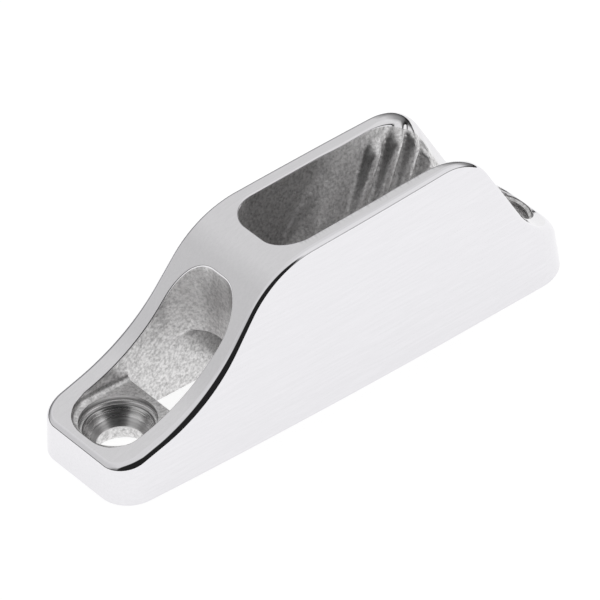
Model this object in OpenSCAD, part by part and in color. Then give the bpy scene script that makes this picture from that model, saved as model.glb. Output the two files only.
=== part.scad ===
// One-piece jam cleat with a built-in fairlead bridge, cast in stainless steel.
// +X runs from the low front end to the tall rear end, +Z is up, Z = 0 is the mounting face.
// The frame's origin is in the middle of the mounting face.

/* [Body] */
// Overall length of the mounting face
body_length = 80; // [79:0.5:84]
// Width of the mounting face at the front end
front_width = 20.6; // [19.8:0.1:22]
// Width of the mounting face at its widest place, under the bridge
middle_width = 22.1; // [20.8:0.1:24]
// Width of the mounting face at the rear end
rear_width = 20.2; // [19.6:0.1:22]
// Radius of the two upright corners at the front end, measured at the mounting face
front_corner_radius = 4.7; // [4:0.1:6]
// Radius of the two upright corners at the rear end, measured at the mounting face
rear_corner_radius = 6.6; // [4.5:0.1:7]
// Inward lean of the outer walls per millimetre of height
wall_draft = 0.08; // [0.02:0.01:0.1]
// Height of the rim at the front end
front_height = 6; // [5.5:0.1:6.5]
// Height of the rim at the rear end
rear_height = 5.7; // [5.2:0.1:6.5]
// Height at which the top and the rear slope would meet, a little above the rounded crest
body_height = 26.95; // [25:0.05:28]

/* [Openings] */
// Half the width of the pocket and of the rope slot
channel_half_width = 6.45; // [5.8:0.05:6.6]
// Radius of the upright corners of the pocket
pocket_corner = 5.2; // [4:0.1:5.5]
// Radius of the upright corners of the slot
slot_corner = 4.4; // [3:0.1:5]
// Front edge of the pocket, from the front end
pocket_start = 1.6; // [1.4:0.1:1.9]
// Rear edge of the pocket, which is the front of the bridge
pocket_end = 26.2; // [25:0.1:27]
// Front edge of the rope slot, which is the rear of the bridge
slot_start = 32.7; // [31.5:0.1:33.5]
// Height of the underside of the bridge
bridge_underside = 10; // [9:0.1:12]
// Rear edge of the front screw pad, where the open base begins
pad_end = 14; // [13.4:0.1:15]

/* [Screw holes] */
// Distance from the front end to the front screw hole
front_hole_x = 7.5; // [7.4:0.1:7.8]
// Distance between the two screw holes
hole_spacing = 65; // [64:0.1:66]
// Radius of the clearance hole
hole_radius = 3.3; // [2.6:0.05:3.4]
// Radius of the machined counterbore
counterbore_radius = 5.5; // [5.1:0.05:5.6]

/* [Jaw] */
// Number of ribs on each side of the groove
rib_count = 4; // [3:1:5]
// Distance between ribs along X
rib_pitch = 3.9; // [3.5:0.1:4.2]
// Angle between the ribs and the mounting face
rib_angle = 55; // [50:1:60]
// Radius of a rib
rib_radius = 1.55; // [1.2:0.05:1.6]
// Half the width of the groove at its bottom
groove_bottom_half_width = 1.95; // [1.6:0.05:2.4]
// Height of the bottom of the groove
groove_floor = 7.1; // [6:0.1:8]
// How far ahead of the rear slope the jaws end and the mouth opens, along X
mouth_gap = 1.8; // [1:0.1:2.5]

/* [Hidden] */

// Facets of a full turn on the rounded outer walls and on everything bored or round
hull_facets = 32;
round_facets = 96;
// Step of the arcs in the side profile, in degrees
arc_step = 4;
// Overshoot of every cut
cut = 1;

// The side profile: its corners from front to rear, each with the radius that rounds it
front_slope = 0.28;
rear_slope = -0.6;
ramp_foot = [16.2, 10.55];
ramp_foot_radius = 28.5;
ramp_head = [29.3, 25.65];
ramp_head_radius = 15.8;
rear_crest = [body_length - 15.7, body_height];
rear_crest_radius = 8;
rear_foot_back = 7.1;
rear_foot = [body_length - rear_foot_back, rear_height - rear_slope * rear_foot_back];
rear_foot_radius = 12;
profile_corners = [
    [-cut, front_height - cut * front_slope, 0],
    [ramp_foot.x, ramp_foot.y, ramp_foot_radius],
    [ramp_head.x, ramp_head.y, ramp_head_radius],
    [rear_crest.x, rear_crest.y, rear_crest_radius],
    [rear_foot.x, rear_foot.y, rear_foot_radius],
    [body_length + cut, rear_height + cut * rear_slope, 0]
];

// Where the widest upright corners stand, and their radius
middle_x = 33;
middle_corner_radius = 5.5;
// The top of the screw pads, and the levels of the machined steps below it
pad_top = front_height + 0.35;
counterbore_depth = 1.2;
seat_radius = 5;
seat_mid_radius = 4.2;
seat_depth = 1.2;
// The cast hole flares out underneath
flare_radius = 4.2;
flare_height = 1;
rear_hole_x = front_hole_x + hole_spacing;
// Clearance for the screwdriver above the rear screw
driver_radius = 6.05;

// The jaw blocks start on a plane that leans like the ribs and meets the groove at this point
jaw_start = [47.9, 21.8];
// The first rib crosses this level at this distance from the front end
first_rib_x = 55.4;
rib_level = 20.4;
// Depth of a rib's axis under the groove's face
rib_axis_depth = 0.25;
rib_length = 34;
// Lowest level at which the ribs stand out of the groove's face
rib_foot = 8;
groove_lean = atan2(channel_half_width - groove_bottom_half_width, body_height - groove_floor);

// Level of the mouth's front plane at a distance from the front end; it runs parallel to the rear slope
function mouth_level(x) =
    rear_crest.y - (x - rear_crest.x + mouth_gap) * (rear_crest.y - rear_foot.y) / (rear_foot.x - rear_crest.x);

function unit(v) = v / norm(v);

// Points of the arc that rounds corner b between its neighbours a and c
function rounded_corner(a, b, c, r) =
    let (
        u = unit(a - b),
        v = unit(c - b),
        half = acos(u * v) / 2,
        middle = b + unit(u + v) * r / sin(half),
        first = b + u * r / tan(half),
        last = b + v * r / tan(half),
        start = atan2(first.y - middle.y, first.x - middle.x),
        raw_turn = atan2(last.y - middle.y, last.x - middle.x) - start,
        turn = raw_turn > 180 ? raw_turn - 360 : raw_turn < -180 ? raw_turn + 360 : raw_turn,
        steps = ceil(abs(turn) / arc_step)
    )
    [for (i = [0:steps]) middle + r * [cos(start + turn * i / steps), sin(start + turn * i / steps)]];

// Points of an open outline of [x, z, radius] corners, with every corner rounded
function rounded_outline(corners) = [
    for (i = [0:len(corners) - 1])
        let (p = [corners[i].x, corners[i].y])
        each i == 0 || i == len(corners) - 1
            ? [p]
            : rounded_corner(
                [corners[i - 1].x, corners[i - 1].y],
                p,
                [corners[i + 1].x, corners[i + 1].y],
                corners[i].z
            )
];

// A leaning upright corner of the outer walls, with its centre at x and half the width there
module corner_post(x, half_width, radius) {
    for (side = [-1, 1])
        translate([x, side * (half_width - radius), 0])
            cylinder(
                h = body_height + cut,
                r1 = radius,
                r2 = radius - wall_draft * (body_height + cut),
                $fn = hull_facets
            );
}

module outer_walls() {
    hull() {
        corner_post(front_corner_radius, front_width / 2, front_corner_radius);
        corner_post(middle_x, middle_width / 2, middle_corner_radius);
        corner_post(body_length - rear_corner_radius, rear_width / 2, rear_corner_radius);
    }
}

// Everything under the top surface, from side to side
module under_profile() {
    translate([0, middle_width, 0])
        rotate([90, 0, 0])
            linear_extrude(2 * middle_width)
                polygon(concat(
                    [[-cut, -cut]],
                    rounded_outline(profile_corners),
                    [[body_length + cut, -cut]]
                ));
}

module outer_shape() {
    intersection() {
        outer_walls();
        under_profile();
    }
}

// An upright prism with rounded corners, from x0 to x1 and from z0 to z1
module channel(x0, x1, z0, z1, corner) {
    straight = channel_half_width - corner;
    translate([x0 + corner, -channel_half_width, z0])
        cube([x1 - x0 - 2 * corner, 2 * channel_half_width, z1 - z0]);
    translate([x0, -straight, z0])
        cube([x1 - x0, 2 * straight, z1 - z0]);
    for (x = [x0 + corner, x1 - corner], side = [-1, 1])
        translate([x, side * straight, z0])
            cylinder(h = z1 - z0, r = corner, $fn = round_facets);
}

// A stepped screw hole that breaks through the mounting face
module screw_hole(x) {
    seat_top = pad_top - counterbore_depth;
    translate([x, 0, 0])
        rotate_extrude($fn = round_facets)
            polygon([
                [0, -cut],
                [flare_radius + cut * (flare_radius - hole_radius) / flare_height, -cut],
                [hole_radius, flare_height],
                [hole_radius, seat_top - 2 * seat_depth],
                [seat_mid_radius, seat_top - seat_depth],
                [seat_radius, seat_top],
                [counterbore_radius, seat_top],
                [counterbore_radius, pad_top + cut],
                [0, pad_top + cut]
            ]);
}

// The region that lies behind the leaning front plane of the jaw blocks
module behind_jaw_front() {
    translate([jaw_start.x, 0, jaw_start.y])
        rotate([0, 90 - rib_angle, 0])
            translate([0, -middle_width, -body_length])
                cube([body_length, 2 * middle_width, 2 * body_length]);
}

// The V of the groove, seen from the end, with a rounded bottom
module groove() {
    reach = body_height + cut;
    lean = tan(groove_lean);
    top_half_width = groove_bottom_half_width + (reach - groove_floor) * lean;
    rotate([90, 0, 90])
        linear_extrude(body_length + cut)
            union() {
                polygon([
                    [-groove_bottom_half_width, groove_floor],
                    [groove_bottom_half_width, groove_floor],
                    [top_half_width, reach],
                    [-top_half_width, reach]
                ]);
                translate([0, groove_floor])
                    circle(r = groove_bottom_half_width, $fn = round_facets);
            }
}

// The full-width rope channel: the pocket, the slot, which is square where it runs into the
// clearance over the rear screw, and the tunnel under the bridge
module rope_channel() {
    channel(pocket_start, pocket_end, pad_top, body_height + cut, pocket_corner);
    channel(slot_start, rear_hole_x, -cut, body_height + cut, slot_corner);
    translate([rear_hole_x - 2 * slot_corner, -channel_half_width, -cut])
        cube([2 * slot_corner, 2 * channel_half_width, body_height + 2 * cut]);
    translate([pad_end, -channel_half_width, -cut])
        cube([rear_hole_x - pad_end, 2 * channel_half_width, bridge_underside + cut]);
}

// The two solid blocks between the side walls that hold the groove
module jaw_blocks() {
    difference() {
        intersection() {
            outer_shape();
            behind_jaw_front();
            translate([0, -channel_half_width - cut, 0])
                cube([body_length, 2 * (channel_half_width + cut), body_height + cut]);
        }
        groove();
    }
}

// One rib on the +Y face of the groove
module rib(x) {
    translate([x, groove_bottom_half_width + (rib_level - groove_floor) * tan(groove_lean), rib_level])
        rotate([-groove_lean, 0, 0])
            translate([0, rib_axis_depth, 0])
                rotate([0, 90 - rib_angle, 0])
                    cylinder(h = rib_length, r = rib_radius, center = true, $fn = round_facets);
}

module ribs() {
    intersection() {
        outer_shape();
        translate([0, -channel_half_width - cut, rib_foot])
            cube([body_length, 2 * (channel_half_width + cut), body_height]);
        union() {
            for (i = [0:rib_count - 1], side = [0, 1])
                mirror([0, side, 0])
                    rib(first_rib_x + i * rib_pitch);
        }
    }
}

module driver_clearance() {
    translate([rear_hole_x, 0, pad_top])
        cylinder(h = body_height, r = driver_radius, $fn = round_facets);
}

// The mouth behind the jaws, as wide as the clearance over the rear screw, which it runs into
module mouth() {
    start = rear_crest.x - 2 * mouth_gap;
    translate([0, driver_radius, 0])
        rotate([90, 0, 0])
            linear_extrude(2 * driver_radius)
                polygon([
                    [start, mouth_level(start)],
                    [rear_hole_x, mouth_level(rear_hole_x)],
                    [rear_hole_x, mouth_level(start)]
                ]);
}

module cleat_body() {
    color("gainsboro")
        translate([-body_length / 2, 0, 0])
            difference() {
                union() {
                    difference() {
                        outer_shape();
                        rope_channel();
                    }
                    jaw_blocks();
                    ribs();
                }
                mouth();
                driver_clearance();
                screw_hole(front_hole_x);
                screw_hole(rear_hole_x);
            }
}

cleat_body();
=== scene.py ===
"""Looks of a one-piece jam cleat, investment cast in stainless steel and polished.

The casting leads a rope in over a screw pad, under a fairlead bridge and up into a groove whose
two faces carry leaning ribs. The outside is polished to a mirror, the rope channel is left as it
came out of the mould, and the two screw seats are turned.

Lengths in the classes are millimetres, measured from the front end of the mounting face, with
+X towards the rear, +Z up and Y = 0 in the middle. Meshes are in metres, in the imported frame.
"""

from __future__ import annotations

import logging
import math
from dataclasses import dataclass, field
from enum import Enum
from typing import Any, Callable, Iterable

import bmesh
import bpy
from mathutils import Matrix, Vector

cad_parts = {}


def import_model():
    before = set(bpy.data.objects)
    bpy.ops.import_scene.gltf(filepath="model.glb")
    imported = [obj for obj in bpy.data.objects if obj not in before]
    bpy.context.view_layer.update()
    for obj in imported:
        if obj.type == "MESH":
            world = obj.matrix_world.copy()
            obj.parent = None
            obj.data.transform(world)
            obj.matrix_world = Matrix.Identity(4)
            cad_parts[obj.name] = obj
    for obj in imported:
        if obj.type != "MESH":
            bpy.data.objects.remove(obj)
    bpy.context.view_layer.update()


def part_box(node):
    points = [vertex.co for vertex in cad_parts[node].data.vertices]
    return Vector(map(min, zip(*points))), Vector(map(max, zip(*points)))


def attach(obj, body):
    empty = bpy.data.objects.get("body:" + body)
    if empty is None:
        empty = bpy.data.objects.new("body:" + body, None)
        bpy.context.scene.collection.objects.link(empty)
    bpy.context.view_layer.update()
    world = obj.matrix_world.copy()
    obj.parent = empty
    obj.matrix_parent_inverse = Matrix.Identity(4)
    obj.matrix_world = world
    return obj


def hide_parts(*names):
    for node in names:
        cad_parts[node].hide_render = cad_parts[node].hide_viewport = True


Tree = bpy.types.NodeTree
Socket = bpy.types.NodeSocket
Material = bpy.types.Material
Solid = bpy.types.Object
Mesh = bmesh.types.BMesh
Face = bmesh.types.BMFace
Vert = bmesh.types.BMVert

LOG = logging.getLogger("jam_cleat")
MM = 0.001
CAD_NODE = "cleat_body"
BODY = "root"
# Degrees up a lip and down a fillet at which a cutter has a ring.
LIP_TURNS = (75, 60, 45, 30, 15, 0)
FILLET_TURNS = (30, 60, 90)
# How far inset_rings lifts each ring; the callers set the final levels.
RING_RISE = 0.01


# --------------------------------------------------------------------------- materials


def srgb(code: str) -> tuple[float, float, float, float]:
    """Turns a colour as designers write it into the linear colour that shaders take.

    Args:
        code: the sRGB colour as six hex digits.

    Returns:
        The linear red, green, blue and an alpha of 1.
    """
    values = [int(code[i : i + 2], 16) / 255 for i in (0, 2, 4)]
    linear = [v / 12.92 if v <= 0.04045 else ((v + 0.055) / 1.055) ** 2.4 for v in values]
    return (*linear, 1.0)


def add_node(
    tree: Tree,
    kind: str,
    settings: dict[str, Any] | None = None,
    values: dict[str | int, Any] | None = None,
    links: dict[str | int, Socket] | None = None,
) -> bpy.types.Node:
    """Adds a node with its settings, socket values and incoming links.

    Args:
        tree: the node tree.
        kind: the node's type name, such as ShaderNodeTexNoise.
        settings: attributes of the node itself.
        values: constants for input sockets, by name or index.
        links: output sockets that feed input sockets, by name or index.

    Returns:
        The new node.
    """
    node = tree.nodes.new(kind)
    for name, value in (settings or {}).items():
        setattr(node, name, value)
    for name, value in (values or {}).items():
        node.inputs[name].default_value = value
    for name, socket in (links or {}).items():
        tree.links.new(socket, node.inputs[name])
    return node


def per_mm(size_mm: float) -> float:
    """Gives the texture scale at which one cell of a pattern is size_mm millimetres across."""
    return 1 / (size_mm * MM)


def ramp(tree: Tree, socket: Socket, low: float, high: float, out_low: float, out_high: float) -> Socket:
    """Maps a pattern's range to another range, clamped at both ends.

    Noise stays mostly between 0.3 and 0.7, so the limits for it lie about there.

    Args:
        tree: the node tree.
        socket: the pattern.
        low: the pattern's value that gives out_low.
        high: the pattern's value that gives out_high.
        out_low: the result at low.
        out_high: the result at high.

    Returns:
        The socket with the result.
    """
    values = {"From Min": low, "From Max": high, "To Min": out_low, "To Max": out_high}
    return add_node(tree, "ShaderNodeMapRange", {"clamp": True}, values, {"Value": socket}).outputs["Result"]


def arithmetic(tree: Tree, operation: str, *terms: Socket | float) -> Socket:
    """Calculates with sockets and constants.

    Args:
        tree: the node tree.
        operation: what the Math node does, such as ADD.
        terms: its inputs in order.

    Returns:
        The socket with the result.
    """
    constants = {i: term for i, term in enumerate(terms) if isinstance(term, float)}
    sockets = {i: term for i, term in enumerate(terms) if i not in constants}
    return add_node(tree, "ShaderNodeMath", {"operation": operation}, constants, sockets).outputs[0]


def noise(tree: Tree, place: Socket, size_mm: float, detail: float, roughness: float = 0.5) -> Socket:
    """Makes an irregular pattern.

    Args:
        tree: the node tree.
        place: the coordinates.
        size_mm: the size of its cells in millimetres.
        detail: how many finer patterns are laid over it.
        roughness: how strong each is next to the one before.

    Returns:
        The socket with the pattern, from 0 to 1.
    """
    values = {"Scale": per_mm(size_mm), "Detail": detail, "Roughness": roughness}
    return add_node(tree, "ShaderNodeTexNoise", values=values, links={"Vector": place}).outputs["Fac"]


def bump(tree: Tree, pattern: Socket, height_mm: float, under: Socket | None = None) -> Socket:
    """Turns a pattern into relief.

    Args:
        tree: the node tree.
        pattern: the pattern, from 0 to 1.
        height_mm: how high it stands at 1.
        under: the normal that it is laid over.

    Returns:
        The socket with the normal.
    """
    values = {"Strength": 1.0, "Distance": height_mm * MM}
    links = {"Height": pattern} if under is None else {"Height": pattern, "Normal": under}
    return add_node(tree, "ShaderNodeBump", values=values, links=links).outputs["Normal"]


@dataclass(frozen=True)
class SteelFinish:
    """What every finish on the casting shares: it is bare stainless steel, a nearly neutral grey.

    Args:
        name: what the finish is and how it was made.
        light: the colour where the surface is clean.
        dark: the colour in its hollows and marks.
    """

    name: str
    light: str
    dark: str

    def make(self) -> Material:
        """Builds the material.

        Returns:
            The finished material.
        """
        material = bpy.data.materials.new(self.name)
        material.use_nodes = True
        tree = material.node_tree
        tree.nodes.clear()
        place = add_node(tree, "ShaderNodeTexCoord").outputs["Object"]
        dress = self.dress(tree, place)
        shader = add_node(tree, "ShaderNodeBsdfPrincipled", values={"Metallic": 1.0}, links=dress)
        add_node(tree, "ShaderNodeOutputMaterial", links={"Surface": shader.outputs[0]})
        return material

    def mix(self, tree: Tree, share: Socket) -> Socket:
        """Mixes the dark colour into the light one.

        Args:
            tree: the node tree.
            share: how much of the light colour shows, from 0 to 1.

        Returns:
            The socket with the colour.
        """
        node = add_node(tree, "ShaderNodeMix", {"data_type": "RGBA"}, links={0: share})
        node.inputs[6].default_value = srgb(self.dark)
        node.inputs[7].default_value = srgb(self.light)
        return node.outputs[2]

    def dress(self, tree: Tree, place: Socket) -> dict[str, Socket]:
        """Makes the finish's patterns; each finish has its own.

        Args:
            tree: the node tree.
            place: the Object coordinates.

        Returns:
            The sockets that feed the Principled shader, by the names of its inputs.
        """
        raise NotImplementedError


@dataclass(frozen=True)
class BuffedSteel(SteelFinish):
    """Stainless steel buffed on a mop: a clear mirror with a very faint drag along the piece.

    The streaks are drawn coarser than real ones, which would be too fine to show.

    Args:
        roughness: the mirror's roughness between marks.
        drag_mm: width of a buffing streak across its run.
        drag_run: the pattern's scale along the piece as a share of that across it.
        ripple_mm: size of the slow swell that hand polishing leaves.
        ripple_height_mm: height of that swell.
    """

    roughness: float = 0.045
    drag_mm: float = 0.35
    drag_run: float = 0.06
    ripple_mm: float = 9.0
    ripple_height_mm: float = 0.006

    def dress(self, tree: Tree, place: Socket) -> dict[str, Socket]:
        """Makes streaks for colour and roughness and a swell for the normal.

        Args:
            tree: the node tree.
            place: the Object coordinates.

        Returns:
            The sockets that feed the shader.
        """
        scale = (self.drag_run, 1.0, 1.0)
        along = add_node(tree, "ShaderNodeMapping", values={"Scale": scale}, links={"Vector": place})
        streaks = noise(tree, along.outputs["Vector"], self.drag_mm, 3.0, 0.6)
        dullest = self.roughness * 1.6
        return {
            "Roughness": ramp(tree, streaks, 0.35, 0.75, self.roughness, dullest),
            "Base Color": self.mix(tree, ramp(tree, streaks, 0.3, 0.6, 1.0, 0.7)),
            "Normal": bump(tree, noise(tree, place, self.ripple_mm, 1.0), self.ripple_height_mm),
        }


@dataclass(frozen=True)
class CastSteel(SteelFinish):
    """Stainless steel as it left the ceramic mould, lightly blasted: dull, pebbled, greyer in its pits.

    The grain is drawn coarser than real grain, which would be too fine to show.

    Args:
        grain_mm: size of the sand-like grain.
        grain_height_mm: height of the grain.
        dimple_mm: size of the larger unevenness of the mould.
        dimple_height_mm: height of that unevenness.
    """

    grain_mm: float = 0.45
    grain_height_mm: float = 0.035
    dimple_mm: float = 2.2
    dimple_height_mm: float = 0.07

    def dress(self, tree: Tree, place: Socket) -> dict[str, Socket]:
        """Makes grain for colour and roughness, and grain over dimples for the normal.

        Args:
            tree: the node tree.
            place: the Object coordinates.

        Returns:
            The sockets that feed the shader.
        """
        grain = noise(tree, place, self.grain_mm, 5.0, 0.65)
        dimples = bump(tree, noise(tree, place, self.dimple_mm, 2.0), self.dimple_height_mm)
        return {
            "Base Color": self.mix(tree, ramp(tree, grain, 0.32, 0.62, 0.0, 1.0)),
            "Roughness": ramp(tree, grain, 0.3, 0.7, 0.42, 0.26),
            "Normal": bump(tree, grain, self.grain_height_mm, dimples),
        }


@dataclass(frozen=True)
class TurnedSteel(SteelFinish):
    """Stainless steel cut with a boring tool: bright, with rings round each hole's axis.

    The tool marks are drawn coarser and deeper than real ones, which would be too fine to show.

    Args:
        axis_a_mm: X of the front hole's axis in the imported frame.
        axis_b_mm: X of the rear hole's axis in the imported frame.
        feed_mm: distance between two tool marks.
        mark_height_mm: depth of a tool mark.
        wander_mm: size of the patches over which the marks drift.
        drift_mm: how far they drift.
    """

    axis_a_mm: float = 0.0
    axis_b_mm: float = 0.0
    feed_mm: float = 0.6
    mark_height_mm: float = 0.16
    wander_mm: float = 3.0
    drift_mm: float = 0.15

    def dress(self, tree: Tree, place: Socket) -> dict[str, Socket]:
        """Makes tool marks, which follow depth and the distance from the nearer axis.

        Args:
            tree: the node tree.
            place: the Object coordinates.

        Returns:
            The sockets that feed the shader.
        """
        parts = add_node(tree, "ShaderNodeSeparateXYZ", links={0: place})
        x, y, z = (parts.outputs[name] for name in "XYZ")
        reaches = []
        for axis in (self.axis_a_mm, self.axis_b_mm):
            across = arithmetic(tree, "SUBTRACT", x, axis * MM)
            flat = add_node(tree, "ShaderNodeCombineXYZ", links={0: across, 1: y}).outputs[0]
            length = add_node(tree, "ShaderNodeVectorMath", {"operation": "LENGTH"}, links={0: flat})
            reaches.append(length.outputs["Value"])
        depth = arithmetic(tree, "SUBTRACT", arithmetic(tree, "MINIMUM", *reaches), z)
        wander = noise(tree, place, self.wander_mm, 2.0)
        shifted = arithmetic(tree, "MULTIPLY_ADD", wander, self.drift_mm * MM, depth)
        marks = add_node(
            tree,
            "ShaderNodeTexNoise",
            {"noise_dimensions": "1D"},
            {"Scale": per_mm(self.feed_mm), "Detail": 3.0, "Roughness": 0.7},
            {"W": shifted},
        ).outputs["Fac"]
        return {
            "Base Color": self.mix(tree, ramp(tree, marks, 0.35, 0.6, 0.0, 1.0)),
            "Roughness": ramp(tree, marks, 0.35, 0.65, 0.4, 0.22),
            "Normal": bump(tree, marks, self.mark_height_mm),
        }


class Surface(Enum):
    """The surfaces of the casting, in the order of its material slots."""

    SIDE = 0
    # The top has the sides' buffed steel with slightly darker colours: painted shade.
    TOP = 1
    CHANNEL = 2
    SEAT = 3


# --------------------------------------------------------------------------- modelling


def smoothstep(low: float, high: float, value: float) -> float:
    """Rises from 0 at low to 1 at high with a level start and end.

    Args:
        low: where the rise starts.
        high: where it ends.
        value: where it is read.

    Returns:
        The height of the step, from 0 to 1.
    """
    share = min(max((value - low) / (high - low), 0.0), 1.0)
    return share * share * (3 - 2 * share)


def outline_face(
    bm: Mesh, corners: Iterable[tuple[float, float, float, int]], longest: float = math.inf
) -> Face:
    """Makes a level face at Z = 0 whose corners are rounded.

    Args:
        bm: the mesh to add to.
        corners: X and Y of each corner, the length that its rounding takes from both edges, and its
            segments.
        longest: straight edges that run along X are divided so that none is longer.

    Returns:
        The rounded face.
    """
    corners = list(corners)
    verts = [bm.verts.new((x, y, 0)) for x, y, _, _ in corners]
    bm.faces.new(verts)
    for vert, (_, _, reach, segments) in zip(verts, corners):
        if reach > 0:
            bmesh.ops.bevel(
                bm,
                geom=[vert],
                affect="VERTICES",
                offset_type="OFFSET",
                offset=reach,
                segments=segments,
                profile=0.5,
                material=-1,
            )
    for edge in list(bm.edges):
        along = abs(edge.verts[0].co.x - edge.verts[1].co.x)
        if along > longest:
            bmesh.ops.subdivide_edges(bm, edges=[edge], cuts=math.ceil(along / longest) - 1)
    bm.faces.ensure_lookup_table()
    return max(bm.faces, key=lambda face: face.calc_area())


def inset_rings(bm: Mesh, face: Face, insets: Iterable[float]) -> list[list[Vert]]:
    """Insets a face again and again, so that rings of faces surround it.

    Args:
        bm: the mesh.
        face: the face, which ends up as the innermost one.
        insets: how far each ring lies inside the one before. The caller sets the rings' levels.

    Returns:
        The vertices of every ring from the outermost in, in the same order round the face.
    """
    insets = list(insets)
    for inset in insets:
        bmesh.ops.inset_region(
            bm, faces=[face], use_boundary=True, use_even_offset=True, thickness=inset, depth=RING_RISE
        )
    rings = [list(face.verts)]
    inner: set[Vert] = set()
    for _ in insets:
        here = set(rings[-1])
        around = [[edge.other_vert(vert) for edge in vert.link_edges] for vert in rings[-1]]
        rings.append([next(v for v in verts if v not in here and v not in inner) for verts in around])
        inner = here
    return rings[::-1]


def close_solid(bm: Mesh) -> None:
    """Fills the open ends of a shell and turns its faces outwards."""
    bmesh.ops.holes_fill(bm, edges=[edge for edge in bm.edges if edge.is_boundary], sides=0)
    bmesh.ops.recalc_face_normals(bm, faces=bm.faces)


def round_edges(bm: Mesh, edges: list[bmesh.types.BMEdge], radius: float, segments: int) -> None:
    """Rounds edges.

    Args:
        bm: the mesh.
        edges: the edges to round.
        radius: the width that the rounding takes from both faces.
        segments: how many faces across the rounding.
    """
    bmesh.ops.bevel(
        bm,
        geom=edges,
        affect="EDGES",
        offset_type="OFFSET",
        offset=radius,
        segments=segments,
        profile=0.5,
        material=-1,
        loop_slide=True,
    )


def solid_object(name: str, bm: Mesh, *materials: Material) -> Solid:
    """Turns a mesh in millimetres into an object.

    Args:
        name: the object's name.
        bm: the mesh, which is freed.
        materials: its materials, in the order that its faces count them.

    Returns:
        The object.
    """
    mesh = bpy.data.meshes.new(name)
    bm.to_mesh(mesh)
    bm.free()
    for material in materials:
        mesh.materials.append(material)
    piece = bpy.data.objects.new(name, mesh)
    bpy.context.scene.collection.objects.link(piece)
    return piece


def cut(target: Solid, tool: Solid) -> None:
    """Cuts a solid with another one, which is used up. Cut faces take the tool's material.

    Args:
        target: the solid that is kept.
        tool: the solid that is cut out.
    """
    modifier = target.modifiers.new("cut", "BOOLEAN")
    modifier.operation = "DIFFERENCE"
    modifier.solver = "EXACT"
    modifier.material_mode = "TRANSFER"
    modifier.object = tool
    graph = bpy.context.evaluated_depsgraph_get()
    mesh = bpy.data.meshes.new_from_object(target.evaluated_get(graph))
    target.modifiers.clear()
    target.data = mesh
    bpy.data.objects.remove(tool)


@dataclass(frozen=True)
class Profile:
    """The height of the casting's top along its length: straight runs with rounded corners.

    Args:
        corners: X, height and radius of each corner, from the front end to the rear end.
    """

    corners: tuple[tuple[float, float, float], ...] = (
        (0.0, 6.0, 0.0),
        (16.2, 10.55, 28.5),
        (29.3, 25.65, 15.8),
        (64.3, 26.95, 8.0),
        (72.9, 9.96, 12.0),
        (80.0, 5.7, 0.0),
    )

    def height(self, x: float) -> float:
        """Gives the top's height.

        Args:
            x: the distance from the front end.

        Returns:
            The height there.
        """
        for before, corner, after in zip(self.corners, self.corners[1:], self.corners[2:]):
            bend, radius = Vector(corner[:2]), corner[2]
            back = (Vector(before[:2]) - bend).normalized()
            ahead = (Vector(after[:2]) - bend).normalized()
            half = back.angle(ahead) / 2
            reach = radius / math.tan(half)
            if bend.x + back.x * reach <= x <= bend.x + ahead.x * reach:
                middle = bend + (back + ahead).normalized() * radius / math.sin(half)
                side = 1 if middle.y < bend.y else -1
                return middle.y + side * math.sqrt(radius**2 - (x - middle.x) ** 2)
        runs = list(zip(self.corners, self.corners[1:]))
        first, last = next((run for run in runs if x <= run[1][0]), runs[-1])
        return first[1] + (x - first[0]) / (last[0] - first[0]) * (last[1] - first[1])

    def stretch(self, x: float) -> float:
        """Gives how much longer a drop straight down is than one square to the top."""
        return math.hypot(1.0, (self.height(x + 0.05) - self.height(x - 0.05)) / 0.1)

    def before_rear_slope(self, x: float, z: float) -> float:
        """Gives how far a point lies ahead of the rear slope along X."""
        (crest_x, crest_z, _), (foot_x, foot_z, _) = self.corners[3:5]
        return crest_x + (crest_z - z) * (foot_x - crest_x) / (crest_z - foot_z) - x


@dataclass(frozen=True)
class Ring:
    """One ring of vertices round a cutter.

    Args:
        out: how far it lies outside the cutter's walls.
        level: its level as a function of X.
        lip: whether it belongs to the rounded-over lip.
    """

    out: float
    level: Callable[[float], float]
    lip: bool


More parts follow.
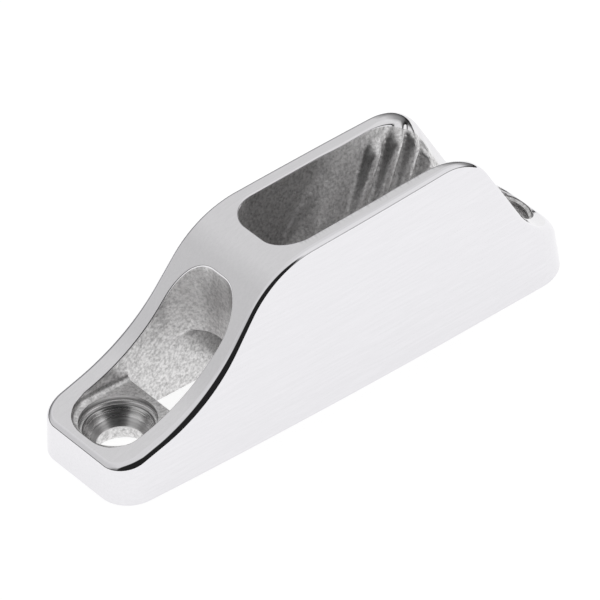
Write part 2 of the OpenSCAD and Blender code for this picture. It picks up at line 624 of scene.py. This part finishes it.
@dataclass(frozen=True)
class Cutter:
    """An upright cutter with a rounded-over lip that follows the top of the casting.

    Args:
        profile: the top of the casting.
        start: front end of the opening.
        end: rear end of the opening.
        half_width: half its width.
        front_corner: radius of its front corners.
        rear_corner: radius of its rear corners.
        floor: level of its lowest point.
        fillet: radius between its walls and its floor.
        lip: radius of the rounded-over edge.
        rows: faces up its walls.
        longest: longest edge along X.
        corner_segments: faces round each corner.
        least_step: least height between two rings.
        flange: how far the top of the cutter lies outside its walls.
        flange_rise: slope of the cutter from the lip out to that flange.
        flange_edge: how far the flange's lower ring lies inside its upper one.
        clear: how far the cutter stands above the casting.
        row_draft: how far each row of the walls lies inside the row above.
        fillet_draft: how far the fillet lies inside the walls.
    """

    profile: Profile
    start: float
    end: float
    half_width: float
    front_corner: float
    rear_corner: float
    floor: float
    fillet: float = 0.3
    lip: float = 0.35
    rows: int = 8
    longest: float = 1.0
    corner_segments: int = 16
    least_step: float = 0.004
    flange: float = 1.9
    flange_rise: float = 0.15
    flange_edge: float = 0.05
    clear: float = 5.0
    row_draft: float = 1e-4
    fillet_draft: float = 1e-3

    def levels(self) -> list[Ring]:
        """Lists the cutter's rings.

        Returns:
            The rings from its top to its floor.
        """
        top, lip, flange = self.profile, self.lip_at, self.flange
        rings: list[Ring] = [
            Ring(flange, lambda x: top.height(x) + self.clear, False),
            Ring(
                flange - self.flange_edge,
                lambda x: top.height(x) + self.flange_rise * (flange - lip(x)),
                False,
            ),
        ]
        for degrees in LIP_TURNS:
            out, drop = 1 - math.cos(math.radians(degrees)), 1 - math.sin(math.radians(degrees))
            rings.append(Ring(
                self.lip * out, lambda x, drop=drop: top.height(x) - lip(x) * drop * top.stretch(x), True
            ))
        low = self.floor + self.fillet
        for row in range(self.rows - 1, -1, -1):
            share = row / self.rows
            rings.append(Ring(
                -self.row_draft * (self.rows - row),
                lambda x, share=share: low + share * (top.height(x) - lip(x) * top.stretch(x) - low),
                False,
            ))
        for degrees in FILLET_TURNS:
            turn = math.radians(degrees)
            rings.append(Ring(
                -self.fillet * (1 - math.cos(turn)) - self.fillet_draft,
                lambda x, turn=turn: low - self.fillet * math.sin(turn),
                False,
            ))
        return rings

    def lip_at(self, x: float) -> float:
        """Gives the lip's radius; a plain cutter has the same one all round."""
        return self.lip

    def wall(self, side: float, x: float, z: float) -> float:
        """Gives how far a side wall stands from the middle plane; a plain cutter leaves it as it is."""
        return side

    def outline(self, bm: Mesh, wide: float) -> Face:
        """Makes the cutter's outline, seen from above.

        Args:
            bm: the mesh to add to.
            wide: how far the outline lies outside the walls.

        Returns:
            The outline's face.
        """
        first, last, side = self.start - wide, self.end + wide, self.half_width + wide
        front, rear = self.front_corner + wide, self.rear_corner + wide
        if self.front_corner >= self.half_width:
            bmesh.ops.create_circle(bm, cap_ends=True, segments=8 * self.corner_segments, radius=side)
            bmesh.ops.translate(bm, verts=bm.verts, vec=((first + last) / 2, 0, 0))
            return next(iter(bm.faces))
        corners = [
            (first, -side, front, self.corner_segments),
            (last, -side, rear, self.corner_segments),
            (last, side, rear, self.corner_segments),
            (first, side, front, self.corner_segments),
        ]
        return outline_face(bm, corners, self.longest)

    def tool(self, channel: Material, polish: Material) -> Solid:
        """Builds the cutter.

        Args:
            channel: the material that its walls and floor leave on the casting.
            polish: the material that its lip leaves, the top's buffed steel whose slightly darker colours
                are painted shade.

        Returns:
            The solid.
        """
        levels = self.levels()
        bm = bmesh.new()
        face = self.outline(bm, levels[0].out)
        rings = inset_rings(bm, face, [a.out - b.out for a, b in zip(levels, levels[1:])])
        for column in zip(*rings):
            below = -math.inf
            for vert, ring in reversed(list(zip(column, levels))):
                x = vert.co.x
                below = vert.co.z = max(ring.level(x), below + self.least_step)
                wall = self.wall(abs(vert.co.y) - ring.out, x, min(below, self.profile.height(x)))
                out = ring.out * self.lip_at(x) / self.lip if ring.lip else ring.out
                vert.co.y = math.copysign(wall + out, vert.co.y)
        polished = [verts for verts, ring in zip(rings, levels) if ring.lip or ring.out > self.lip]
        lip = {vert for verts in polished for vert in verts}
        for side in bm.faces:
            side.material_index = int(lip.issuperset(side.verts))
        close_solid(bm)
        return solid_object("cutter", bm, channel, polish)


@dataclass(frozen=True)
class SlotCutter(Cutter):
    """The rope slot: full width behind the bridge, then a V groove between two ribbed jaws.

    Args:
        groove_floor: level of the bottom of the V.
        floor_half_width: half the V's width there.
        brim: level at which the V is as wide as the slot.
        jaw_start: X and level of a point in the middle of the leaning zone where the jaws begin.
        jaw_blend: length of that zone along X.
        lean: angle between the ribs and the mounting face.
        first_rib: where the first rib crosses rib_level.
        rib_level: the level at which the ribs' places are measured.
        rib_pitch: distance between ribs along X.
        rib_count: ribs on each jaw.
        rib_height: how far a rib stands out.
        rib_flank: where a rib's flank starts and ends, from its middle, as shares of the pitch.
        rib_foot: height over the groove's floor in which the ribs grow.
        rib_top: the levels between which the ribs die away.
        mouth: how far ahead of the rear slope the jaws begin to open, and where they are fully open.
        mouth_side: half the width of the open mouth.
        mouth_lip: radius of the lip round the mouth.
        mouth_start: the two places between which the lip grows to it.
    """

    groove_floor: float = 7.1
    floor_half_width: float = 1.95
    brim: float = 26.9
    jaw_start: tuple[float, float] = (47.9, 21.8)
    jaw_blend: float = 5.0
    lean: float = math.radians(55)
    first_rib: float = 55.4
    rib_level: float = 20.4
    rib_pitch: float = 3.9
    rib_count: int = 4
    rib_height: float = 1.3
    rib_flank: tuple[float, float] = (0.08, 0.52)
    rib_foot: float = 4.0
    rib_top: tuple[float, float] = (23.0, 25.3)
    mouth: tuple[float, float] = (3.2, 0.4)
    mouth_side: float = 6.05
    mouth_lip: float = 1.5
    mouth_start: tuple[float, float] = (57.0, 64.0)

    def lip_at(self, x: float) -> float:
        """Gives the lip's radius, which is larger where the rope leaves the jaws."""
        return self.lip + (self.mouth_lip - self.lip) * smoothstep(*self.mouth_start, x)

    def along(self, x: float, z: float, level: float) -> float:
        """Follows the ribs' lean from a point to a level and gives the X there."""
        return x - (z - level) / math.tan(self.lean)

    def rib(self, x: float, z: float) -> float:
        """Gives how far the ribs stand out of the jaw.

        Args:
            x: the place along the casting.
            z: the level.

        Returns:
            The height of the rib there, 0 between ribs.
        """
        place = (self.along(x, z, self.rib_level) - self.first_rib) / self.rib_pitch
        nearest = min(max(round(place), 0), self.rib_count - 1)
        return self.rib_height * (1 - smoothstep(*self.rib_flank, abs(place - nearest)))

    def wall(self, side: float, x: float, z: float) -> float:
        """Narrows the slot to the V of the jaws and their ribs.

        Args:
            side: half the slot's full width.
            x: the place along the casting.
            z: the level.

        Returns:
            The distance from the middle plane to the slot's side.
        """
        if z < self.groove_floor:
            down = (self.groove_floor - z) / self.floor_half_width
            groove = self.floor_half_width * math.sqrt(max(1 - down**2, 0.05))
        else:
            lift = (z - self.groove_floor) / (self.brim - self.groove_floor)
            groove = self.floor_half_width + lift * (self.half_width - self.floor_half_width)
        begin = self.along(*self.jaw_start, self.rib_level)
        half = self.jaw_blend / 2
        jaw = smoothstep(begin - half, begin + half, self.along(x, z, self.rib_level))
        rib = self.rib(x, z) * smoothstep(self.groove_floor, self.groove_floor + self.rib_foot, z)
        rib *= 1 - smoothstep(*self.rib_top, z)
        closed = side + jaw * (min(groove, side) - side) - min(rib, 0.8 * groove)
        mouth = smoothstep(*self.mouth, self.profile.before_rear_slope(x, z))
        return closed + mouth * max(min(self.mouth_side, side) - closed, 0.0)


@dataclass
class ScrewHole:
    """A turned, stepped screw seat over a cast clearance hole that flares out underneath.

    Args:
        x: place of its axis.
        pad: level of the pad round it.
        sink: radius of the counterbore.
        depth: depth of the counterbore.
        seat: radius of the ledge at its bottom.
        middle: radius of the ring halfway down the seat.
        hole: radius of the clearance hole.
        flare: radius at the mounting face.
        flare_height: height of the flare.
        chamfer: width of the broken edges at the bottom of the counterbore and of the seat.
        step: width of the step between the seat's two cones.
        headroom: how far the seat's tool stands above the pad.
        spare: how far a tool goes past the metal that it cuts.
        facets: faces round the axis.
    """

    x: float
    pad: float
    sink: float = 5.5
    depth: float = 1.2
    seat: float = 5.0
    middle: float = 4.2
    hole: float = 3.3
    flare: float = 4.2
    flare_height: float = 1.0
    chamfer: float = 0.1
    step: float = 0.12
    headroom: float = 2.0
    spare: float = 0.3
    facets: int = 128

    def tool(self, outline: list[tuple[float, float]], material: Material) -> Solid:
        """Spins an outline round the hole's axis into a solid.

        Args:
            outline: radius and level of each point, from the top of the axis to its bottom.
            material: what the solid leaves on the casting.

        Returns:
            The solid.
        """
        bm = bmesh.new()
        verts = [bm.verts.new((self.x + radius, 0, level)) for radius, level in outline]
        edges = [bm.edges.new(pair) for pair in zip(verts, verts[1:])]
        bmesh.ops.spin(
            bm,
            geom=verts + edges,
            cent=(self.x, 0, 0),
            axis=(0, 0, 1),
            angle=math.tau,
            steps=self.facets,
            use_merge=True,
        )
        bmesh.ops.remove_doubles(bm, verts=bm.verts, dist=1e-5)
        bmesh.ops.recalc_face_normals(bm, faces=bm.faces)
        return solid_object("screw_hole", bm, material)

    def seat_tool(self, material: Material) -> Solid:
        """Builds the turned part: counterbore, ledge and two cones with a fine step between them.

        Args:
            material: what it leaves on the casting.

        Returns:
            The solid.
        """
        top = self.pad - self.depth
        end = top - 2 * self.depth
        outline = [
            (0.0, self.pad + self.headroom),
            (self.sink, self.pad + self.headroom),
            (self.sink, top + self.chamfer),
            (self.sink - self.chamfer, top),
            (self.seat, top),
            (self.middle + self.step, top - self.depth),
            (self.middle, top - self.depth - self.step),
            (self.hole + self.chamfer, end),
            (self.hole, end - self.chamfer),
            (self.hole, end - self.spare),
            (0.0, end - self.spare),
        ]
        return self.tool(outline, material)

    def bore_tool(self, material: Material) -> Solid:
        """Builds the cast part: the clearance hole and its flare.

        Args:
            material: what it leaves on the casting.

        Returns:
            The solid, which starts at the end of the seat and goes out through the mounting face.
        """
        top = self.pad - 3 * self.depth
        outline = [
            (0.0, top),
            (self.hole, top),
            (self.hole, self.flare_height),
            (self.flare, 0.0),
            (self.flare + self.spare, -self.spare),
            (0.0, -self.spare),
        ]
        return self.tool(outline, material)


@dataclass
class Casting:
    """The whole casting: a drafted block under the profile, with its openings cut out.

    Args:
        length: overall length.
        width: overall width, at the widest place.
        front_width: width at the front end.
        rear_width: width at the rear end.
        widest_at: where it is widest.
        side_bow: how far the bow of the side walls reaches to both sides of that place.
        front_corner: radius of the upright corners at the front end.
        rear_corner: radius of the upright corners at the rear end.
        draft: inward lean of the walls per millimetre of height.
        rim: radius of the rounded rim.
        full_rim: the rim's larger radius along the front slope and round the rear end.
        rim_changes: the places between which the rim grows, shrinks and grows again.
        rim_segments: faces across the rounded rim.
        strip: width of the strips that the top is made of.
        base_rim: radius of the edge round the mounting face.
        channel: half the width of the rope channel, which pocket, tunnel and slot share.
        pocket: front and rear end of the pocket.
        pocket_corner: radius of its corners.
        pocket_fillet: radius between its walls and its floor.
        pocket_lip: radius of its rounded-over edge.
        slot_start: front end of the slot.
        slot_corner: radius of the slot's front corners.
        slot_rear_corner: radius of its rear corners, which the way to the rear screw cuts off.
        slot_floor: level of its lowest point.
        slot_rows: faces up its walls, enough for the ribs.
        slot_longest: longest edge along it.
        pad: level of both screw pads.
        pad_end: rear end of the front pad, behind which the base is open.
        bridge_underside: level of the bridge's underside.
        roof_rounding: width of the rounding along both sides of the tunnel's roof.
        driver_clearance: radius of the way that comes down to the rear screw.
        holes: places of both screw holes.
        inset_height: height over which the block's wall is inset before it is brought to its level.
        sharp: angle from which an edge is shaded sharp.
        profile: the top of the casting.
    """

    length: float
    width: float
    front_width: float = 20.6
    rear_width: float = 20.2
    widest_at: float = 33.0
    side_bow: float = 24.0
    front_corner: float = 4.7
    rear_corner: float = 6.6
    draft: float = 0.08
    rim: float = 0.75
    full_rim: float = 1.25
    rim_changes: tuple[tuple[float, float], ...] = ((-1.0, 4.0), (16.0, 32.0), (66.0, 74.0))
    rim_segments: int = 10
    strip: float = 0.6
    base_rim: float = 0.3
    channel: float = 6.45
    pocket: tuple[float, float] = (1.6, 26.2)
    pocket_corner: float = 5.2
    pocket_fillet: float = 0.9
    pocket_lip: float = 0.18
    slot_start: float = 32.7
    slot_corner: float = 4.4
    slot_rear_corner: float = 0.4
    slot_floor: float = 5.2
    slot_rows: int = 60
    slot_longest: float = 0.35
    pad: float = 6.35
    pad_end: float = 14.0
    bridge_underside: float = 10.0
    roof_rounding: float = 1.2
    driver_clearance: float = 6.05
    holes: tuple[float, float] = (7.5, 72.5)
    inset_height: float = 30.0
    sharp: float = math.radians(32)
    profile: Profile = field(default_factory=Profile)

    def rim_radius(self, x: float) -> float:
        """Gives the rim's radius, which is largest along the front slope and round the rear end."""
        front, shoulder, rear = (smoothstep(*places, x) for places in self.rim_changes)
        fuller = front * (1 - shoulder) + rear
        return self.rim + (self.full_rim - self.rim) * fuller

    def place_column(self, column: tuple[Vert, ...], tall: float) -> None:
        """Moves one upright row of the block's vertices onto the drafted wall and the rounded rim.

        Args:
            column: the vertices from the mounting face up over the rim, inset as on a block with a
                level top.
            tall: height over which the block's wall was inset.
        """
        base, shoulder, *over = column
        top, flat = self.profile, shoulder.co.copy()
        x = base.co.x
        for _ in range(12):
            radius = self.rim_radius(x)
            share = (top.height(x) - radius * top.stretch(x)) / tall
            x = base.co.x + (flat.x - base.co.x) * share
        shoulder.co = base.co.lerp(flat, share)
        shoulder.co.z = share * tall
        for i, vert in enumerate(over, start=1):
            turn = math.pi / 2 * i / len(over)
            inwards = (vert.co - flat) * radius
            vert.co.x, vert.co.y = shoulder.co.x + inwards.x, shoulder.co.y + inwards.y
            vert.co.z = top.height(vert.co.x) - radius * top.stretch(vert.co.x) * (1 - math.sin(turn))

    def blank(self, side: Material, top: Material) -> Solid:
        """Builds the casting's outside, with its rounded rim and without any opening.

        Args:
            side: the material of the walls and the rim.
            top: the material of the top, the sides' buffed steel with slightly darker colours as painted
                shade.

        Returns:
            The solid.
        """
        tall = self.inset_height
        front_lean = (self.width - self.front_width) / 2 / self.widest_at
        rear_lean = (self.width - self.rear_width) / 2 / (self.length - self.widest_at)
        bow_height = self.side_bow * (front_lean + rear_lean) / 4
        ends = [
            (0.0, self.front_width / 2, self.front_corner, 20),
            (self.widest_at, self.width / 2 + bow_height, self.side_bow, 30),
            (self.length, self.rear_width / 2, self.rear_corner, 20),
        ]
        corners = [(x, -y, reach, segments) for x, y, reach, segments in ends]
        corners += [(x, y, reach, segments) for x, y, reach, segments in reversed(ends)]
        bm = bmesh.new()
        face = outline_face(bm, corners, self.strip)
        turns = [math.pi / 2 * i / self.rim_segments for i in range(self.rim_segments + 1)]
        steps = [math.cos(a) - math.cos(b) for a, b in zip(turns, turns[1:])]
        rings = inset_rings(bm, face, [self.draft * tall, *steps])
        for column in zip(*rings):
            self.place_column(column, tall)
        sides = [edge for edge in face.edges if edge.verts[0].co.y * edge.verts[1].co.y > 0]
        bmesh.ops.delete(bm, geom=[face], context="FACES_ONLY")
        strips = bmesh.ops.bridge_loops(bm, edges=sides)["faces"]
        for strip in strips:
            strip.material_index = Surface.TOP.value
        close_solid(bm)
        base = [edge for edge in bm.edges if all(vert.co.z == 0 for vert in edge.verts)]
        round_edges(bm, base, self.base_rim, 3)
        return solid_object("cast_body", bm, side, top)

    def cutters(self) -> list[Cutter]:
        """Lists the openings that come down from the top.

        Returns:
            The cutters of the pocket, the rope slot and the way to the rear screw.
        """
        reach, rear, corner = self.driver_clearance, self.holes[1], self.pocket_corner
        pocket = Cutter(
            self.profile, *self.pocket, self.channel, corner, corner, self.pad,
            fillet=self.pocket_fillet, lip=self.pocket_lip,
        )
        slot = SlotCutter(
            self.profile, self.slot_start, rear, self.channel, self.slot_corner, self.slot_rear_corner,
            self.slot_floor, rows=self.slot_rows, longest=self.slot_longest,
        )
        clearance = Cutter(self.profile, rear - reach, rear + reach, reach, reach, reach, self.pad)
        return [pocket, slot, clearance]

    def tunnel_tool(self, slot: SlotCutter, material: Material) -> Solid:
        """Builds the solid that cuts the tunnel and the open base, up to the leaning fronts of the jaws.

        Args:
            slot: the rope slot, which knows where the jaws begin.
            material: what it leaves on the casting.

        Returns:
            The solid.
        """
        low, high = -1.0, self.bridge_underside
        bm = bmesh.new()
        rear = [slot.along(*slot.jaw_start, level) - slot.jaw_blend / 2 for level in (low, high)]
        bmesh.ops.create_cube(bm, size=1.0)
        for vert in bm.verts:
            upper = vert.co.z > 0
            end = rear[1] if upper else rear[0]
            vert.co = (
                end if vert.co.x > 0 else self.pad_end,
                math.copysign(self.channel, vert.co.y),
                high if upper else low,
            )
        roof = [edge for edge in bm.edges if all(vert.co.z == high for vert in edge.verts)]
        long = [edge for edge in roof if edge.verts[0].co.x != edge.verts[1].co.x]
        round_edges(bm, long, self.roof_rounding, 5)
        return solid_object("tunnel", bm, material)

    def build(self, finishes: dict[Surface, Material]) -> Solid:
        """Builds the casting.

        Args:
            finishes: the material of each surface.

        Returns:
            The casting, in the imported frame.
        """
        channel, seat, polish = (finishes[name] for name in (Surface.CHANNEL, Surface.SEAT, Surface.TOP))
        body = self.blank(finishes[Surface.SIDE], finishes[Surface.TOP])
        pocket, slot, clearance = self.cutters()
        cut(body, pocket.tool(channel, polish))
        cut(body, self.tunnel_tool(slot, channel))
        cut(body, slot.tool(channel, polish))
        cut(body, clearance.tool(channel, polish))
        for x in self.holes:
            hole = ScrewHole(x, self.pad)
            cut(body, hole.seat_tool(seat))
            cut(body, hole.bore_tool(channel))
        self.finish(body)
        return body

    def finish(self, body: Solid) -> None:
        """Cleans the casting's mesh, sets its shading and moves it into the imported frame.

        Args:
            body: the casting, in millimetres from its front end.
        """
        bm = bmesh.new()
        bm.from_mesh(body.data)
        bmesh.ops.remove_doubles(bm, verts=bm.verts, dist=1e-4)
        bmesh.ops.dissolve_degenerate(bm, edges=bm.edges, dist=1e-4)
        for face in bm.faces:
            face.smooth = True
        for edge in bm.edges:
            edge.smooth = edge.calc_face_angle(0.0) < self.sharp
        bmesh.ops.translate(bm, verts=bm.verts, vec=(-self.length / 2, 0, 0))
        bmesh.ops.scale(bm, verts=bm.verts, vec=(MM, MM, MM))
        bm.to_mesh(body.data)
        bm.free()
        weighted = body.modifiers.new("weighted_normals", "WEIGHTED_NORMAL")
        weighted.keep_sharp = True
        weighted.weight = 50


# --------------------------------------------------------------------------- studio


@dataclass(frozen=True)
class LightPatch:
    """A round soft lamp or black card in the room.

    Args:
        toward: the direction in which it hangs.
        inner: half the angle across its even middle, in degrees.
        outer: half the angle across it with its soft edge.
        light: the light that it gives.
    """

    toward: tuple[float, float, float]
    inner: float
    outer: float
    light: float


@dataclass
class Studio:
    """A pale light table in a soft grey room, which the mirror finish shows.

    Args:
        azimuth: the camera's direction round the piece, in degrees.
        elevation: its height over the table, in degrees.
        roll: its turn about its own axis, in degrees.
        distance: its distance, in metres.
        lens: its focal length in millimetres.
        aim: the point that it looks at, in metres.
        table: light of the table.
        walls: light of the room low down.
        cornice: light of the room halfway up.
        ceiling: light of the room overhead.
        rises: sines of the angles of elevation where the room is as light as walls, cornice and ceiling.
        skirting: the sines between which a dark band round the table ends, and its share of the light.
        table_half: half the width of the table, in metres.
        patches: lamps and cards, each laid over the ones before.
    """

    azimuth: float = -34.48
    elevation: float = 37.84
    roll: float = -5.23
    distance: float = 1.0594
    lens: float = 462.0
    aim: tuple[float, float, float] = (-0.0007, 0.0001, 0.0101)
    table: float = 0.88
    walls: float = 0.15
    cornice: float = 0.40
    ceiling: float = 0.78
    rises: tuple[float, float, float] = (0.15, 0.40, 0.62)
    skirting: tuple[float, float, float] = (0.08, 0.15, 0.15)
    table_half: float = 3.0
    patches: tuple[LightPatch, ...] = (
        LightPatch((0.45, -0.6, 0.65), 28.0, 40.0, 0.9),
        LightPatch((-0.72, 0.6, 0.34), 18.0, 38.0, 0.68),
        LightPatch((-0.4755, -0.8236, 0.309), 42.0, 48.0, 0.02),
    )

    def camera(self) -> None:
        """Makes the camera, which stands off the front end and one side and looks down."""
        turn, tilt, roll = (math.radians(v) for v in (self.azimuth, self.elevation, self.roll))
        back = Vector((math.sin(turn) * math.cos(tilt), -math.cos(turn) * math.cos(tilt), math.sin(tilt)))
        right = Vector((math.cos(turn), math.sin(turn), 0))
        up = back.cross(right)
        across = math.cos(roll) * right + math.sin(roll) * up
        above = math.cos(roll) * up - math.sin(roll) * right
        place = Matrix((across, above, back)).transposed().to_4x4()
        place.translation = Vector(self.aim) + back * self.distance
        lens = bpy.data.cameras.new("camera")
        lens.lens = self.lens
        lens.sensor_width = 36.0
        lens.clip_start = 0.01
        camera = bpy.data.objects.new("camera", lens)
        camera.matrix_world = place
        bpy.context.scene.collection.objects.link(camera)
        bpy.context.scene.camera = camera

    def floor(self) -> None:
        """Makes the pale table."""
        bm = bmesh.new()
        bmesh.ops.create_grid(bm, x_segments=1, y_segments=1, size=self.table_half)
        material = bpy.data.materials.new("opal_light_table")
        material.use_nodes = True
        shader = material.node_tree.nodes["Principled BSDF"]
        shader.inputs["Base Color"].default_value = srgb("8C8C8C")
        shader.inputs["Roughness"].default_value = 0.9
        shader.inputs["Specular IOR Level"].default_value = 0.1
        shader.inputs["Emission Color"].default_value = srgb("FFFFFF")
        shader.inputs["Emission Strength"].default_value = self.table
        solid_object("table", bm, material)

    def patch(self, tree: Tree, way: Socket, spot: LightPatch, under: Socket) -> Socket:
        """Lays a round lamp or a round black card over the light that comes from a part of the room.

        Args:
            tree: the node tree.
            way: the direction that is looked at.
            spot: the lamp or the card.
            under: the light without it.

        Returns:
            The socket with the light.
        """
        toward = tuple(Vector(spot.toward).normalized())
        near = add_node(tree, "ShaderNodeVectorMath", {"operation": "DOT_PRODUCT"}, {1: toward}, {0: way})
        inner, outer = (math.cos(math.radians(angle)) for angle in (spot.inner, spot.outer))
        share = ramp(tree, near.outputs["Value"], outer, inner, 0.0, 1.0)
        lamp = add_node(tree, "ShaderNodeMix", {"data_type": "FLOAT"}, {3: spot.light}, {0: share, 2: under})
        return lamp.outputs[0]

    def world(self) -> None:
        """Makes the room: paler overhead, darker low down, with two soft lamps and a black card in it."""
        world = bpy.data.worlds.new("studio")
        world.use_nodes = True
        tree = world.node_tree
        way = add_node(tree, "ShaderNodeTexCoord").outputs["Generated"]
        rise = add_node(tree, "ShaderNodeSeparateXYZ", links={0: way}).outputs["Z"]
        wall, cornice, ceiling = self.rises
        low = ramp(tree, rise, wall, cornice, self.walls, self.cornice)
        high = ramp(tree, rise, cornice, ceiling, 0.0, self.ceiling - self.cornice)
        light = arithmetic(tree, "ADD", low, high)
        for spot in self.patches:
            light = self.patch(tree, way, spot, light)
        start, end, share = self.skirting
        room = arithmetic(tree, "MULTIPLY", light, ramp(tree, rise, start, end, share, 1.0))
        # The camera itself sees plain white beyond the table; the room shows in the metal only.
        direct = add_node(tree, "ShaderNodeLightPath").outputs["Is Camera Ray"]
        links = {0: direct, 2: room}
        seen = add_node(tree, "ShaderNodeMix", {"data_type": "FLOAT"}, {3: 1.0}, links).outputs[0]
        background = tree.nodes["Background"]
        background.inputs["Color"].default_value = srgb("FFFFFF")
        tree.links.new(seen, background.inputs["Strength"])
        bpy.context.scene.world = world

    def build(self) -> None:
        """Sets up camera, table and light."""
        self.camera()
        self.floor()
        self.world()
        bpy.context.scene.view_settings.view_transform = "Standard"


def main() -> None:
    """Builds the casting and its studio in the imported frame."""
    logging.basicConfig(level=logging.INFO, format="%(name)s: %(message)s")
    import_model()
    low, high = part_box(CAD_NODE)
    size = [(b - a) / MM for a, b in zip(low, high)]
    Studio().build()
    casting = Casting(length=size[0], width=size[1])
    holes = [x - casting.length / 2 for x in casting.holes]
    finishes = {
        Surface.SIDE: BuffedSteel("buffed_stainless_steel_sides", "EBEAED", "E2E1E4").make(),
        # The top's copy of the buffed steel has slightly darker colours than the sides': painted shade, as
        # top and sides share one mirror finish.
        Surface.TOP: BuffedSteel("buffed_stainless_steel_top_painted_shade", "E6E5E7", "DAD9DB", roughness=0.05).make(),
        Surface.CHANNEL: CastSteel("investment_cast_stainless_steel", "EDECEC", "B4B3B3").make(),
        Surface.SEAT: TurnedSteel("turned_stainless_steel", "E2E1E1", "8E8D8D", *holes).make(),
    }
    body = casting.build(finishes)
    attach(body, BODY)
    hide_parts(CAD_NODE)
    LOG.info("%s: %d faces", body.name, len(body.data.polygons))


if __name__ == "__main__":
    main()
